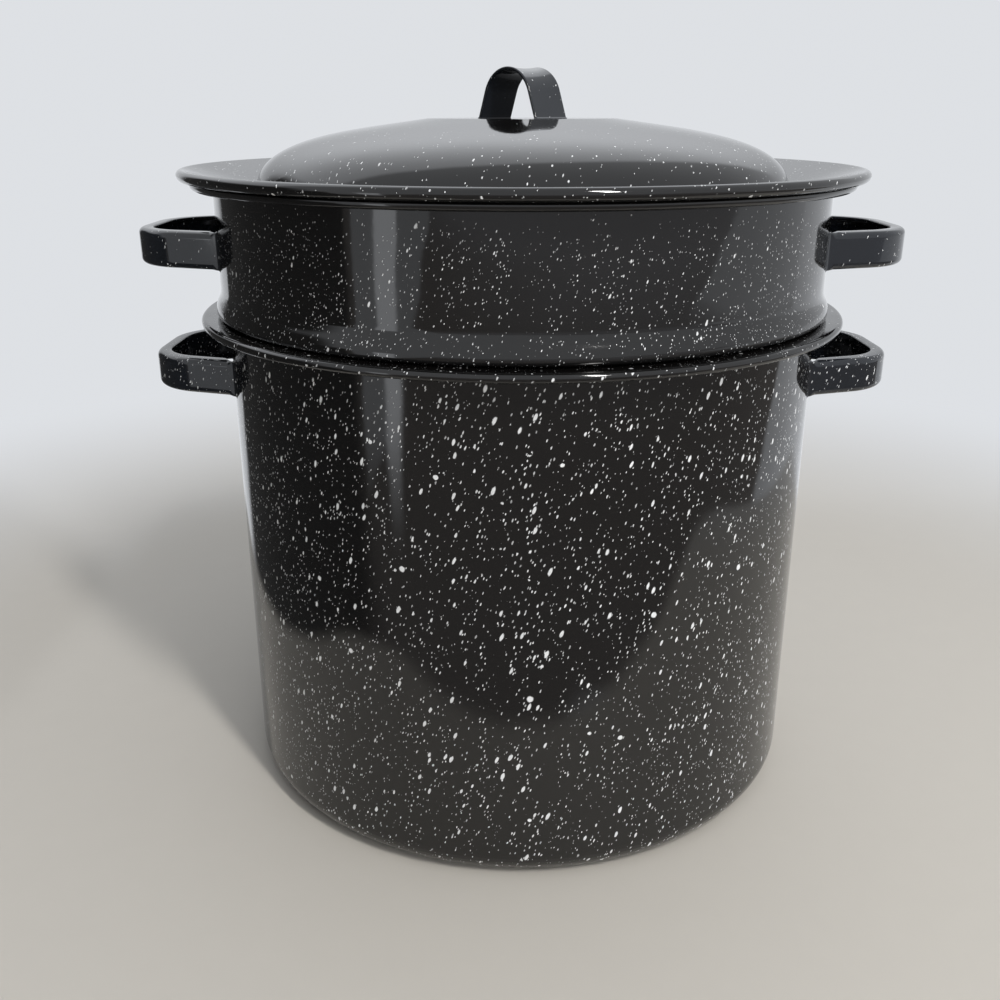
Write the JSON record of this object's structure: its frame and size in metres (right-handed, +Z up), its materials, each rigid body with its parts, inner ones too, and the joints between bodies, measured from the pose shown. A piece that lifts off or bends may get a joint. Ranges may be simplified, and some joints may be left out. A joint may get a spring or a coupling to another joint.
{
  "type": "blancher pot",
  "caption": "Enamelled steel blancher: a deep straight pot, a perforated insert standing in its rim, and a domed lid, with strap loop handles.",
  "frame": {"origin": "middle of the pot's base, on the surface that it stands on", "axes": "+Z up, X from handle to handle, -Y towards the viewer of the picture"},
  "size_m": [0.3646, 0.3204, 0.346],
  "materials": {
    "pot_enamel": "glossy black porcelain enamel with dense white specks",
    "insert_enamel": "glossy black porcelain enamel with white specks",
    "lid_enamel": "glossy black porcelain enamel with few white specks",
    "handle_enamel": "glossy black porcelain enamel with few white specks"
  },
  "bodies": {
    "pot": {"pot_body": "pot_enamel", "pot_handle_left": "handle_enamel", "pot_handle_right": "handle_enamel"},
    "insert": {"insert_body": "insert_enamel", "insert_handle_left": "handle_enamel", "insert_handle_right": "handle_enamel"},
    "lid": {"lid_shell": "lid_enamel", "lid_handle": "handle_enamel"}
  },
  "joints": [
    {"name": "insert_lift", "type": "slide", "parent": "pot", "child": "insert", "axis": [0, 0, 1], "range_m": [0, 0.205]},
    {"name": "lid_lift", "type": "slide", "parent": "insert", "child": "lid", "axis": [0, 0, 1], "range_m": [0, 0.12]}
  ]
}
